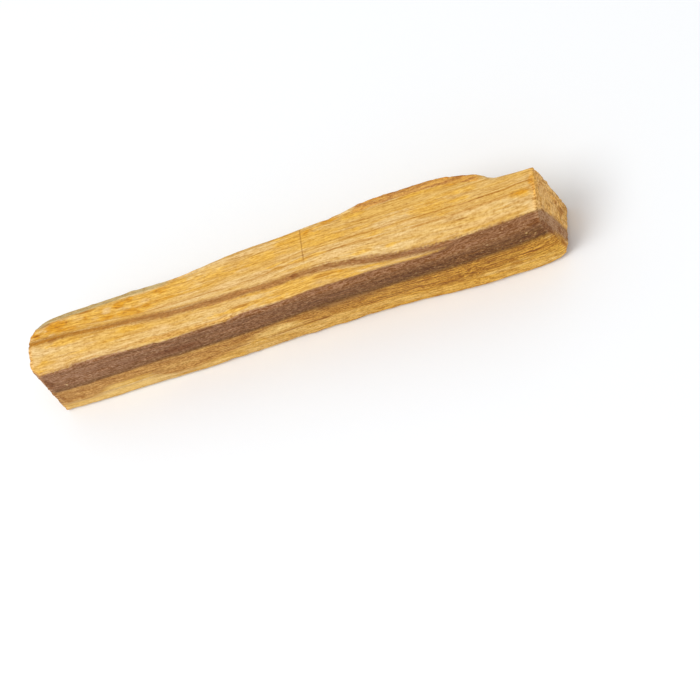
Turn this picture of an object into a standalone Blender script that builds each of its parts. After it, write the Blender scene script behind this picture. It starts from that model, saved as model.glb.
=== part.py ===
"""A palo santo stick: one split and sawn length of pale wood, lying on its flat underside.

X runs along the grain, -Y is the long front face, +Z is up.
The origin is at the middle of the underside's bounding box, where the stick touches the surface.
Sizes below are in millimetres and become metres where the points are placed.
"""

import math

import bmesh
import bpy
from mathutils import Vector, noise

MM = 0.001

# Driving dimensions
LENGTH = 100.0
HEIGHT_LEFT = 15.0
HEIGHT_RIGHT = 15.6

# Plan of the four long edges: (place along the stick, place across it)
FRONT_TOP_EDGE = ((-50, -6.9), (-42, -7.0), (-20, -7.2), (5, -7.5), (26, -7.7), (42, -7.4), (50, -6.5))
FRONT_BOTTOM_EDGE = (
    (-50, -7.6), (-42, -7.7), (-20, -7.5), (4, -6.8), (15, -6.7), (35, -7.6), (46, -7.3), (50, -6.6),
)
BACK_TOP_EDGE = (
    (-50, 1.8), (-47.3, 3.1), (-45, 3.9), (-40, 4.2), (-20, 4.3), (-8, 5.5), (10, 6.3),
    (20, 7.6), (30, 7.7), (37, 6.6), (40.6, 5.5), (42.2, 4.25), (50, 4.0),
)
BACK_BOTTOM_EDGE = ((-50, 2.2), (-30, 3.6), (0, 4.6), (24, 5.6), (40, 4.2), (50, 2.9))

# The sawn ends
LEFT_END_SLANT = 2.2
LEFT_SLANT_CURVE = 1.3
LEFT_TOP_EASE = 1.5
LEFT_EASE_SHARE = 0.19
LEFT_BACK_CHIP = 1.5
CHIP_FROM_ACROSS = 0.78
CHIP_FROM_UP = 0.6
RIGHT_END_SLANT = 0.25
RIGHT_WEAR_LENGTH = 4.2
RIGHT_WEAR_HEIGHT = 2.9
RIGHT_WEAR_CURVE = 1.4
SAW_ROUGHNESS = 0.16
SAW_LUMP_WIDTH = 1.7
SAW_LUMP_HEIGHT = 2.3
END_GRIP = 12

# The long faces
EDGE_SOFTNESS = 0.35
CRISP_EDGE_SOFTNESS = 0.21
UNDERSIDE_WANDER = 0.25
UNDERSIDE_WANDER_LENGTH = 2.4
TOP_CROWN = 0.18
FRONT_HOLLOW = 0.15
GRAIN_RELIEF = 0.2
GRAIN_WIDTH = 1.3
TOP_GRAIN_LENGTH = 16.0
FRONT_GRAIN_LENGTH = 14.0
BACK_GRAIN_LENGTH = 11.0

# The rough strip of old surface along the back of the top face
BARK_FROM = 15.0
BARK_TO = 36.0
BARK_FADE = 7.0
BARK_WIDTH = 2.1
BARK_STEP = 0.9
BARK_DROP = 0.45
BARK_LUMPS = 0.35
BARK_LUMP_LENGTH = 2.6

# The thin bevelled sliver along the top back edge, left of the middle
SLIVER_FROM = -45.0
SLIVER_TO = -18.0
SLIVER_FADE = 6.0
SLIVER_WIDTH = 1.1
SLIVER_DROP = 0.5

# The ledges that the split left along the back face
LEDGE_HEIGHTS = (4.6, 10.2)
LEDGE_STEPS = (0.55, -0.45)
LEDGE_WANDER = 1.4
LEDGE_WANDER_LENGTH = 22.0
LEDGE_SLOPE = 1.1
LEDGES_FADE_FROM = 30.0

# Places in the grain's noise, one for each surface, so that no two look alike
TOP_GRAIN = 0.0
BARK_GRAIN = 7.0
FRONT_GRAIN = 21.0
BACK_GRAIN = 43.0
LEDGE_GRAIN = 31.0
UNDERSIDE_GRAIN = 57.0
END_GRAIN = 5.0

# Cells of the surface grid along the stick, across it and up it
CELLS = (100, 10, 12)
EDGE_PINCH = 0.085
ON_EDGE = 1e-6

WOOD_COLOUR = (0.72, 0.49, 0.21, 1.0)
WOOD_ROUGHNESS = 0.68
WOOD_METALLIC = 0.0


def clear_scene():
    for old in list(bpy.data.objects):
        bpy.data.objects.remove(old, do_unlink=True)


def smooth_step(low, high, value):
    """0 at low, 1 at high and an even S-curve between them."""
    share = min(max((value - low) / (high - low), 0.0), 1.0)
    return share * share * (3.0 - 2.0 * share)


def window(low, high, fade, value):
    """1 between low and high, fading to 0 outside them."""
    return smooth_step(low - fade, low, value) * (1.0 - smooth_step(high, high + fade, value))


def joint_slope(before, after):
    """Slope that a smooth curve has where two straight runs meet: flat where they turn back."""
    if before * after <= 0.0:
        return 0.0
    return 2.0 * before * after / (before + after)


def along(path, x):
    """Place at x on a smooth curve through the path's points, which never overshoots them."""
    x = min(max(x, path[0][0]), path[-1][0])
    index = next(i for i in range(len(path) - 1) if x <= path[i + 1][0])
    slopes = [(b[1] - a[1]) / (b[0] - a[0]) for a, b in zip(path, path[1:])]
    start_slope = joint_slope(slopes[index - 1], slopes[index]) if index > 0 else slopes[0]
    end_slope = joint_slope(slopes[index], slopes[index + 1]) if index + 1 < len(slopes) else slopes[-1]
    (x0, y0), (x1, y1) = path[index], path[index + 1]
    span = x1 - x0
    t = (x - x0) / span
    run = y0 * (1 + 2 * t) * (1 - t) ** 2 + y1 * t * t * (3 - 2 * t)
    return run + span * t * (1 - t) * (start_slope * (1 - t) - end_slope * t)


def grain(x, y, z, length, place):
    """Smooth noise between -1 and 1, drawn out along the grain to the length given."""
    return noise.noise(Vector((x / length, y / GRAIN_WIDTH, z / GRAIN_WIDTH + place)))


def pinched(share):
    """Draws a share of 0 to 1 towards both ends, so that the grid is finer beside the edges."""
    return share - EDGE_PINCH * math.sin(2.0 * math.pi * share)


def make_grid():
    """A unit cube whose faces are cut into a grid, with its narrow cells across the grain."""
    grid = bmesh.new()
    bmesh.ops.create_cube(grid, size=1.0)
    for axis, cells in enumerate(CELLS):
        runs = [e for e in grid.edges if abs(e.verts[0].co[axis] - e.verts[1].co[axis]) > ON_EDGE]
        bmesh.ops.subdivide_edges(grid, edges=runs, cuts=cells - 1, use_grid_fill=True)
    return grid


def section_point(x, across, up):
    """Point of the plain section at x, for shares from front to back and from bottom to top."""
    height = HEIGHT_LEFT + (HEIGHT_RIGHT - HEIGHT_LEFT) * (x / LENGTH + 0.5)
    front = along(FRONT_BOTTOM_EDGE, x) * (1.0 - up) + along(FRONT_TOP_EDGE, x) * up
    back = along(BACK_BOTTOM_EDGE, x) * (1.0 - up) + along(BACK_TOP_EDGE, x) * up
    return front + (back - front) * across, height * up


def saw_lump(place, y, z):
    """Unevenness that the saw left in an end."""
    return SAW_ROUGHNESS * noise.noise(Vector((place, y / SAW_LUMP_WIDTH, z / SAW_LUMP_HEIGHT)))


def left_end(across, up):
    """How far the left end is set in: it slants, and its top back corner is broken off."""
    ease = LEFT_TOP_EASE * smooth_step(0.0, LEFT_EASE_SHARE, across) * up
    chip = LEFT_BACK_CHIP * smooth_step(CHIP_FROM_ACROSS, 1.0, across) * smooth_step(CHIP_FROM_UP, 1.0, up)
    return LEFT_END_SLANT * up ** LEFT_SLANT_CURVE - ease + chip


def right_end(across, up):
    """How far the right end is set in: only a little, towards the ridge."""
    return RIGHT_END_SLANT * up * (1.0 - across)


def top_lift(x, y, across):
    """Relief of the top face: a slight crown, raised grain, the rough strip and the sliver."""
    back = along(BACK_TOP_EDGE, x)
    step = back - BARK_WIDTH
    bark = window(BARK_FROM, BARK_TO, BARK_FADE, x) * smooth_step(step, step + BARK_STEP, y)
    sliver = window(SLIVER_FROM, SLIVER_TO, SLIVER_FADE, x) * smooth_step(back - SLIVER_WIDTH, back, y)
    lift = TOP_CROWN * (1.0 - (2.0 * across - 1.0) ** 2)
    lift += GRAIN_RELIEF * grain(x, y, 0.0, TOP_GRAIN_LENGTH, TOP_GRAIN)
    lift += bark * (BARK_LUMPS * grain(x, y, 0.0, BARK_LUMP_LENGTH, BARK_GRAIN) - BARK_DROP)
    return lift - sliver * SLIVER_DROP


def front_set_in(x, z, up):
    """Relief of the front face: a slight hollow and raised grain."""
    hollow = FRONT_HOLLOW * (1.0 - (2.0 * up - 1.0) ** 2)
    return hollow + GRAIN_RELIEF * grain(x, 0.0, z, FRONT_GRAIN_LENGTH, FRONT_GRAIN)


def back_stand_out(x, z):
    """Relief of the back face: ledges that wander along the grain, dying out at the right end."""
    stand_out = GRAIN_RELIEF * grain(x, 0.0, z, BACK_GRAIN_LENGTH, BACK_GRAIN)
    fade = 1.0 - smooth_step(LEDGES_FADE_FROM, LENGTH / 2, x)
    for height, step in zip(LEDGE_HEIGHTS, LEDGE_STEPS):
        middle = height + LEDGE_WANDER * grain(x, 0.0, height, LEDGE_WANDER_LENGTH, LEDGE_GRAIN)
        stand_out += fade * step * smooth_step(middle - LEDGE_SLOPE / 2, middle + LEDGE_SLOPE / 2, z)
    return stand_out


def right_wear(x, across, up):
    """How far the right end's bottom edge is worn up, in a round that grows towards the front."""
    reach = max(x - (LENGTH / 2 - RIGHT_WEAR_LENGTH), 0.0) / RIGHT_WEAR_LENGTH
    round_off = 1.0 - math.sqrt(1.0 - min(reach, 1.0) ** 2)
    depth = RIGHT_WEAR_HEIGHT * (1.0 - across) ** RIGHT_WEAR_CURVE
    return depth * round_off * (1.0 - up) ** 3


def stick_point(share_along, across, up):
    """Point of the stick's surface for shares along it, from front to back and from bottom to top."""
    x = (share_along - 0.5) * LENGTH
    y, z = section_point(x, across, up)

    # each sawn end draws the grid in, less and less towards the middle
    x += (left_end(across, up) + saw_lump(-END_GRAIN, y, z)) * (1.0 - share_along) ** END_GRIP
    x -= (right_end(across, up) + saw_lump(END_GRAIN, y, z)) * share_along ** END_GRIP
    y, z = section_point(x, across, up)

    on_front = across < ON_EDGE
    on_back = across > 1.0 - ON_EDGE
    on_bottom = up < ON_EDGE
    on_top = up > 1.0 - ON_EDGE
    if on_top:
        z += top_lift(x, y, across)
    if on_front:
        y += front_set_in(x, z, up)
    if on_back:
        y += back_stand_out(x, z)
    if on_bottom:
        y += UNDERSIDE_WANDER * grain(x, y, 0.0, UNDERSIDE_WANDER_LENGTH, UNDERSIDE_GRAIN)

    # the long edges are a little worn, less on the front and top faces' side
    if (on_top or on_bottom) and (on_front or on_back):
        y += CRISP_EDGE_SOFTNESS if on_front else -EDGE_SOFTNESS
        z += -CRISP_EDGE_SOFTNESS if on_top else EDGE_SOFTNESS
    return x, y, z + right_wear(x, across, up)


def shape_grid(grid):
    for vertex in grid.verts:
        across = pinched(vertex.co.y + 0.5)
        up = pinched(vertex.co.z + 0.5)
        vertex.co = Vector(stick_point(vertex.co.x + 0.5, across, up)) * MM


def origin_to_base(grid):
    """Puts the origin at the middle of the box's base."""
    lows = [min(vertex.co[axis] for vertex in grid.verts) for axis in range(3)]
    highs = [max(vertex.co[axis] for vertex in grid.verts) for axis in range(3)]
    middle = Vector(((lows[0] + highs[0]) / 2, (lows[1] + highs[1]) / 2, lows[2]))
    bmesh.ops.translate(grid, verts=grid.verts, vec=-middle)


def wood_material():
    material = bpy.data.materials.new("palo santo wood")
    material.use_nodes = True
    shader = material.node_tree.nodes["Principled BSDF"]
    shader.inputs["Base Color"].default_value = WOOD_COLOUR
    shader.inputs["Roughness"].default_value = WOOD_ROUGHNESS
    shader.inputs["Metallic"].default_value = WOOD_METALLIC
    return material


def make_stick(collection):
    grid = make_grid()
    shape_grid(grid)
    origin_to_base(grid)
    bmesh.ops.recalc_face_normals(grid, faces=grid.faces)
    data = bpy.data.meshes.new("stick")
    grid.to_mesh(data)
    grid.free()
    data.materials.append(wood_material())
    stick = bpy.data.objects.new("stick", data)
    collection.objects.link(stick)


clear_scene()
palo_santo_stick = bpy.data.collections.new("palo santo stick")
bpy.context.scene.collection.children.link(palo_santo_stick)
make_stick(palo_santo_stick)
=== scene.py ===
import math

import bpy
from mathutils import Matrix, Vector, kdtree


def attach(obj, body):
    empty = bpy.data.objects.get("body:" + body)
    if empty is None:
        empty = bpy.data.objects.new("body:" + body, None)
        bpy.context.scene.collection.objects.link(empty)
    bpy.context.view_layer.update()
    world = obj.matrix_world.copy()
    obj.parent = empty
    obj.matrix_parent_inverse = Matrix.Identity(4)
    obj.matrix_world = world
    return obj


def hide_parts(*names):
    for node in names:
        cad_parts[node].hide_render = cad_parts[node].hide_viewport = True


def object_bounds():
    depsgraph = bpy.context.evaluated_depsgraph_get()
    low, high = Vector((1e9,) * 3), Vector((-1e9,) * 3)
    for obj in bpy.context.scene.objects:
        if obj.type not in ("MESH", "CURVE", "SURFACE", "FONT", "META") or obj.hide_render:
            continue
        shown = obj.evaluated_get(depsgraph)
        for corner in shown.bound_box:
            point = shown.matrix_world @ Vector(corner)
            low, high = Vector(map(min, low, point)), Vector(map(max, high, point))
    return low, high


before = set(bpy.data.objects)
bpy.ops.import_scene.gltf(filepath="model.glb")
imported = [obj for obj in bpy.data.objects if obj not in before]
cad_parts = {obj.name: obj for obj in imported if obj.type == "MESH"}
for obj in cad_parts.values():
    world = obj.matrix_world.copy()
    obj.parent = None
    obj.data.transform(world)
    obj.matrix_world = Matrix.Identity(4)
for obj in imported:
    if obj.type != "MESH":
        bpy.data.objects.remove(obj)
solid_low, solid_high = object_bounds()

# The stick, shaped: one length of palo santo, split from the log along the grain and sawn across at both
# ends. It starts as the solid's own faces, made a clean grid, and is cut finer across the grain than
# along it, because fibres are long and narrow. The underside is flat up to the worn lower right corner.
MM = 0.001
FLAT_TO = 46.3
SAME_PLACE = 0.01
CUTS_ACROSS_THE_GRAIN = 3
SMOOTHING_ROUNDS = 3
SIDES = {
    "front": Vector((0, -1, 0)),
    "back": Vector((0, 1, 0)),
    "top": Vector((0, 0, 1)),
    "underside": Vector((0, 0, -1)),
    "left_end": Vector((-1, 0, 0)),
    "right_end": Vector((1, 0, 0)),
}

bpy.ops.object.select_all(action="DESELECT")
stick = bpy.data.objects.new("palo_santo_stick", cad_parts["stick"].data.copy())
bpy.context.collection.objects.link(stick)
bpy.context.view_layer.objects.active = stick
stick.select_set(True)
stick.data.materials.clear()

bpy.ops.object.mode_set(mode="EDIT")
bpy.ops.mesh.select_all(action="SELECT")
bpy.ops.mesh.remove_doubles(threshold=SAME_PLACE * MM)
bpy.ops.mesh.tris_convert_to_quads(face_threshold=math.pi, shape_threshold=math.pi, topology_influence=1.0)
bpy.ops.mesh.select_all(action="DESELECT")
bpy.ops.object.mode_set(mode="OBJECT")
for face in stick.data.polygons:
    corners = [stick.data.vertices[corner].co for corner in face.vertices]
    face.select = all(place.z < SAME_PLACE * MM and place.x < FLAT_TO * MM for place in corners)
bpy.ops.object.mode_set(mode="EDIT")
bpy.ops.mesh.select_mode(type="FACE")
bpy.ops.mesh.delete(type="FACE")
bpy.ops.mesh.select_mode(type="EDGE")
bpy.ops.mesh.select_non_manifold()
bpy.ops.mesh.fill_grid()
bpy.ops.mesh.select_all(action="DESELECT")
bpy.ops.object.mode_set(mode="OBJECT")


def side_of(face):
    """Name of the side of the stick that a face looks out of."""
    return max(SIDES, key=lambda name: face.normal.dot(SIDES[name]))


members = {name: set() for name in SIDES}
sides_beside = {}
for face in stick.data.polygons:
    side = side_of(face)
    members[side].update(face.vertices)
    for pair in face.edge_keys:
        sides_beside.setdefault(pair, set()).add(side)
for name, vertices in members.items():
    stick.vertex_groups.new(name=name).add(list(vertices), 1.0, "REPLACE")
for edge in stick.data.edges:
    edge.select = len(sides_beside[edge.key]) > 1
arrises = stick.vertex_groups.new(name="arrises")
arrises.add([end for edge in stick.data.edges if edge.select for end in edge.vertices], 1.0, "REPLACE")

bpy.ops.object.mode_set(mode="EDIT")
bpy.ops.transform.edge_crease(value=1.0)
bpy.ops.object.mode_set(mode="OBJECT")
bpy.ops.object.modifier_add(type="SUBSURF")
stick.modifiers["Subdivision"].levels = 1
stick.modifiers["Subdivision"].render_levels = 1
bpy.ops.object.modifier_apply(modifier="Subdivision")

for edge in stick.data.edges:
    run = stick.data.vertices[edge.vertices[1]].co - stick.data.vertices[edge.vertices[0]].co
    edge.select = abs(run.x) < 0.5 * run.length
bpy.ops.object.mode_set(mode="EDIT")
bpy.ops.mesh.subdivide(number_cuts=CUTS_ACROSS_THE_GRAIN)
bpy.ops.mesh.select_all(action="DESELECT")
bpy.ops.object.mode_set(mode="OBJECT")
bpy.ops.object.modifier_add(type="SMOOTH")
stick.modifiers["Smooth"].factor = 0.5
stick.modifiers["Smooth"].iterations = SMOOTHING_ROUNDS
stick.modifiers["Smooth"].vertex_group = "arrises"
stick.modifiers["Smooth"].invert_vertex_group = True
bpy.ops.object.modifier_apply(modifier="Smooth")

# The hairline cut, a light stroke of the saw across the back half of the top: three lines are drawn there,
# and the middle one is pressed in once the surface is rough.
CUT_PLACE = 6.0
CUT_LEAN = 0.03
CUT_HALF_WIDTH = 0.1
CUT_DEPTH = 0.1
CUT_FROM = -0.5
CUT_TO = 5.6
CUT_RUN_IN = 1.0
FACING_UP = 0.7

for aside in (-CUT_HALF_WIDTH, 0.0, CUT_HALF_WIDTH):
    for face in stick.data.polygons:
        on_line = abs(face.center.x - CUT_PLACE * MM) < MM and face.normal.z > FACING_UP
        face.select = on_line and CUT_FROM * MM < face.center.y < CUT_TO * MM
    bpy.ops.object.mode_set(mode="EDIT")
    bpy.ops.mesh.select_mode(type="FACE")
    bpy.ops.mesh.bisect(plane_co=((CUT_PLACE + aside) * MM, 0, 0), plane_no=(1, CUT_LEAN, 0))
    bpy.ops.mesh.select_all(action="DESELECT")
    bpy.ops.object.mode_set(mode="OBJECT")

# Where each point of the surface lies in the wood: how far behind the front, ahead of the back and below
# the top it is. The layers that the tree grew are followed with these.
WHOLLY_ON = 0.99


def side_points(name, across, up):
    """The points of one side, to look up the nearest by two of their coordinates."""
    number = stick.vertex_groups[name].index
    chosen = [
        vertex for vertex in stick.data.vertices
        if any(share.group == number and share.weight > WHOLLY_ON for share in vertex.groups)
    ]
    points = kdtree.KDTree(len(chosen))
    for vertex in chosen:
        points.insert((vertex.co[across], vertex.co[up], 0.0), vertex.index)
    points.balance()
    return points


def nearest(points, vertex, across, up, wanted):
    """A coordinate of the nearest point of that side."""
    found = points.find((vertex.co[across], vertex.co[up], 0.0))[1]
    return stick.data.vertices[found].co[wanted]


front_points = side_points("front", 0, 2)
back_points = side_points("back", 0, 2)
top_points = side_points("top", 0, 1)
behind_front = []
ahead_of_back = []
below_top = []
for vertex in stick.data.vertices:
    behind_front.append((vertex.co.y - nearest(front_points, vertex, 0, 2, 1)) / MM)
    ahead_of_back.append((nearest(back_points, vertex, 0, 2, 1) - vertex.co.y) / MM)
    below_top.append((nearest(top_points, vertex, 0, 1, 2) - vertex.co.z) / MM)


def weights(name):
    """How much each point belongs to one side, from 0 to 1."""
    number = stick.vertex_groups[name].index
    return [
        sum(share.weight for share in vertex.groups if share.group == number)
        for vertex in stick.data.vertices
    ]


on_top = weights("top")
on_front = weights("front")
on_left_end = weights("left_end")
on_right_end = weights("right_end")
on_ends = [max(pair) for pair in zip(on_left_end, on_right_end)]


def ease(low, high, value):
    """0 at low, 1 at high and an even S-curve between them."""
    share = min(max((value - low) / (high - low), 0.0), 1.0)
    return share * share * (3.0 - 2.0 * share)


# The old surface along the back of the top: a strip of rough inner bark that the split left on, and on the
# left half a bevel painted grey, as a reflection of the pale room seen edge-on.
BARK_FROM = 18.0
BARK_TO = 38.0
BARK_FADE = 4.0
BARK_WIDTH = 1.7
GREY_FROM = -46.0
GREY_TO = -24.0
GREY_FADE = 6.0
GREY_WIDTH = 0.42
STRIP_EDGE = 0.4


def strip_along_back(start, end, fade, width):
    """How much each point belongs to a strip along the back of the top, from 0 to 1."""
    shares = []
    for index, vertex in enumerate(stick.data.vertices):
        x = vertex.co.x / MM
        lengthways = ease(start - fade, start, x) * (1.0 - ease(end, end + fade, x))
        crossways = 1.0 - ease(width - STRIP_EDGE, width + STRIP_EDGE, ahead_of_back[index])
        shares.append(lengthways * crossways * on_top[index])
    return shares


bark = strip_along_back(BARK_FROM, BARK_TO, BARK_FADE, BARK_WIDTH)

# The stick, roughened: raised fibres along every side, torn fibres on the ends, crumbly bark, and small
# chips along the arrises.


def group_from(name, shares):
    """A vertex group that holds the shares given."""
    group = stick.vertex_groups.new(name=name)
    for index, share in enumerate(shares):
        if share > 0.0:
            group.add([index], share, "REPLACE")


def roughen(name, texture, height, cell, group="", middle=0.5):
    """Raises the surface by a texture whose cells have the size given, along, across and up, in mm."""
    guide = bpy.data.objects.new("grain_guide", None)
    bpy.context.collection.objects.link(guide)
    guide.scale = Vector(cell) * MM
    bpy.context.view_layer.update()
    relief = stick.modifiers.new(name, "DISPLACE")
    relief.texture = texture
    relief.texture_coords = "OBJECT"
    relief.texture_coords_object = guide
    relief.strength = height * MM
    relief.mid_level = middle
    relief.vertex_group = group
    bpy.ops.object.modifier_apply(modifier=relief.name)
    bpy.data.objects.remove(guide)


group_from("bark_strip", bark)
group_from("ends", on_ends)

fibres = bpy.data.textures.new("fibres", "CLOUDS")
fibres.noise_basis = "IMPROVED_PERLIN"
fibres.noise_scale = 1.0
fibres.noise_depth = 2
crumbs = bpy.data.textures.new("crumbs", "VORONOI")
crumbs.noise_scale = 1.0
crumbs.distance_metric = "DISTANCE"

roughen("long_fibres", fibres, 0.16, (9.0, 0.9, 0.9))
roughen("short_fibres", fibres, 0.09, (3.5, 0.4, 0.4))
roughen("split_fibres", fibres, 0.3, (16.0, 0.8, 0.8), group="back")
roughen("bark_crumbs", crumbs, 0.4, (1.4, 0.8, 0.8), group="bark_strip")
roughen("torn_ends", fibres, 0.3, (5.0, 0.55, 0.7), group="ends")
roughen("chipped_arrises", crumbs, 0.28, (2.2, 1.2, 1.2), group="arrises", middle=0.9)

for index, vertex in enumerate(stick.data.vertices):
    x, across, up = vertex.co / MM
    off_line = abs(x + CUT_LEAN * across - CUT_PLACE)
    if on_top[index] > 0.5 and CUT_FROM < across < CUT_TO and off_line < 0.4 * CUT_HALF_WIDTH:
        vertex.co.z -= CUT_DEPTH * MM * ease(CUT_FROM, CUT_FROM + CUT_RUN_IN, across)
    for axis in range(3):
        vertex.co[axis] = min(max(vertex.co[axis], solid_low[axis]), solid_high[axis])

# The stick, marked by the layers that the tree grew: dark heartwood along the front arris, amber wood under
# it, a thin brown stripe and two growth rings behind it. Each path pairs places along the stick with a
# distance: back over the top, down or up the front, or across the top, all in mm.
HEARTWOOD_BACK = (
    (-50, 0.0), (-45, 0.0), (-40, -0.08), (-35, -0.15), (-30, -0.3), (-25, -0.45), (-20, -0.35),
    (-15, -0.2), (-11, -0.1), (-7, 0.5), (-1, 0.6), (3, 0.6), (6, 0.9), (20, 1.05), (27, 0.85),
    (31, 0.95), (36, 1.95), (44, 1.9), (50, 1.7),
)
HEARTWOOD_FOOT = (
    (-50, 7.2), (-44, 7.35), (-40, 7.6), (-36, 7.5), (-30, 7.2), (-20, 7.0), (-8, 6.8), (-4, 6.6),
    (0, 6.3), (4, 5.9), (8, 5.7), (12, 5.4), (18, 5.4), (24, 5.3), (36, 5.3), (44, 5.5), (50, 5.8),
)
# how thick the wood in front of the heartwood is, by the depth under its foot
HEARTWOOD_SKIN = ((0, 0), (2, 0.8), (4, 1.2), (9, 1.0), (12, 1.0))
AMBER_FOOT = (
    (-50, 2.5), (-44, 2.5), (-42, 2.9), (-39, 4.5), (-36, 5.0), (-31, 4.2), (-27, 2.4), (-23, 1.9),
    (-18, 2.8), (-14, 3.7), (-10, 4.9), (-6, 6.5), (-3, 7.2), (0, 6.8), (2, 5.4), (5, 4.8), (12, 4.7),
    (18, 4.7), (24, 4.4), (30, 4.3), (36, 4.6), (50, 4.6),
)
AMBER_LAP = 1.0
AMBER_SKIN = 0.3
# how far towards the back the layers bow, by the depth under the top
LAYER_BOW = ((0, 0), (2, 0.9), (5.6, 1.5), (9.6, 1.9), (12, 1.8), (16, 1.6))
STRIPE = (
    (-50, -0.25), (-45, -0.35), (-42, -0.45), (-39, -0.75), (-33, -1.4), (-27, -1.88), (-24, -2.18),
    (-21, -2.5), (-15, -2.75), (-6, -3.0), (0, -3.1), (3, -2.95), (9, -2.8), (12, -3.2), (15, -3.6),
    (18, -4.2), (21, -4.7), (27, -5.35), (32, -5.75), (36, -5.8), (42, -5.7), (50, -5.5),
)
STRIPE_HALF_WIDTH = (
    (-50, 0.45), (-38, 0.45), (-33, 0.5), (-22, 0.6), (0, 0.6), (9, 0.6), (20, 0.68), (27, 0.6),
    (32, 0.64), (50, 0.66),
)
NEAR_RING = (
    (-50, 1.1), (-40, 0.7), (-25, -0.9), (-17, -1.05), (-6, -0.95), (0, -0.65), (6, -0.35), (12, -0.05),
    (20, -0.2), (33, -0.55), (41, -0.4), (50, 0.1),
)
FAR_RING = (
    (-50, 2.4), (-40, 2.0), (-25, 0.5), (-17, 0.4), (-8, 0.5), (0, 0.95), (10, 1.15), (20, 1.1),
    (34, 0.9), (42, 1.0), (50, 1.5),
)
STRIPE_RING = 3.5
NEAR_RING_NUMBER = 6.0
FAR_RING_NUMBER = 7.5


def joint_slope(before, after):
    """Slope of a smooth path where two straight runs meet: flat where they turn back."""
    if before * after <= 0.0:
        return 0.0
    return 2.0 * before * after / (before + after)


def along(path, x):
    """Place at x on a smooth curve through the path's points."""
    x = min(max(x, path[0][0]), path[-1][0])
    index = next(i for i in range(len(path) - 1) if x <= path[i + 1][0])
    slopes = [(b[1] - a[1]) / (b[0] - a[0]) for a, b in zip(path, path[1:])]
    start_slope = joint_slope(slopes[index - 1], slopes[index]) if index > 0 else slopes[0]
    end_slope = joint_slope(slopes[index], slopes[index + 1]) if index + 1 < len(slopes) else slopes[-1]
    (x0, y0), (x1, y1) = path[index], path[index + 1]
    t = (x - x0) / (x1 - x0)
    run = y0 * (1 + 2 * t) * (1 - t) ** 2 + y1 * t * t * (3 - 2 * t)
    return run + (x1 - x0) * t * (1 - t) * (start_slope * (1 - t) - end_slope * t)


def heartwood_at(x, behind, below, front_share):
    """How far inside the heartwood a point of the surface is, in mm; negative outside it."""
    back = along(HEARTWOOD_BACK, x)
    under_foot = below - along(HEARTWOOD_FOOT, x)
    if front_share > WHOLLY_ON:
        return min(-under_foot, below + back)
    skin = along(HEARTWOOD_SKIN, under_foot) if under_foot > 0.0 else under_foot
    return min(back + along(LAYER_BOW, below) - behind, behind - skin)


def amber_at(x, up, behind, below, front_share):
    """How far inside the amber wood between the heartwood and the foot of the front a point is."""
    above_foot = up - along(AMBER_FOOT, x)
    under_heartwood = below - along(HEARTWOOD_FOOT, x) + AMBER_LAP
    if front_share > WHOLLY_ON:
        return min(above_foot, under_heartwood)
    return min(above_foot, along(HEARTWOOD_SKIN, under_heartwood) + AMBER_SKIN - behind)


def ring_at(x, across, front_edge):
    """Number of the growth ring at a place across the top: it follows the layers' own paths."""
    marks = (
        (front_edge + along(HEARTWOOD_BACK, x), 0.0),
        (along(STRIPE, x), STRIPE_RING),
        (along(NEAR_RING, x), NEAR_RING_NUMBER),
        (along(FAR_RING, x), FAR_RING_NUMBER),
    )
    if across <= marks[0][0]:
        return across - marks[0][0]
    for (low, first), (high, second) in zip(marks, marks[1:]):
        if across <= high:
            return first + (second - first) * (across - low) / (high - low)
    return FAR_RING_NUMBER + across - marks[-1][0]


heartwood = []
stripe = []
amber = []
rings = []
for index, vertex in enumerate(stick.data.vertices):
    x, across, up = vertex.co / MM
    behind = behind_front[index]
    below = below_top[index]
    flat_across = across - along(LAYER_BOW, below)
    front_edge = across - behind
    heartwood.append(heartwood_at(x, behind, below, on_front[index]))
    amber.append(amber_at(x, up, behind, below, on_front[index]))
    stripe.append(along(STRIPE_HALF_WIDTH, x) - abs(flat_across - along(STRIPE, x)))
    rings.append(ring_at(x, flat_across, front_edge))

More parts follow.
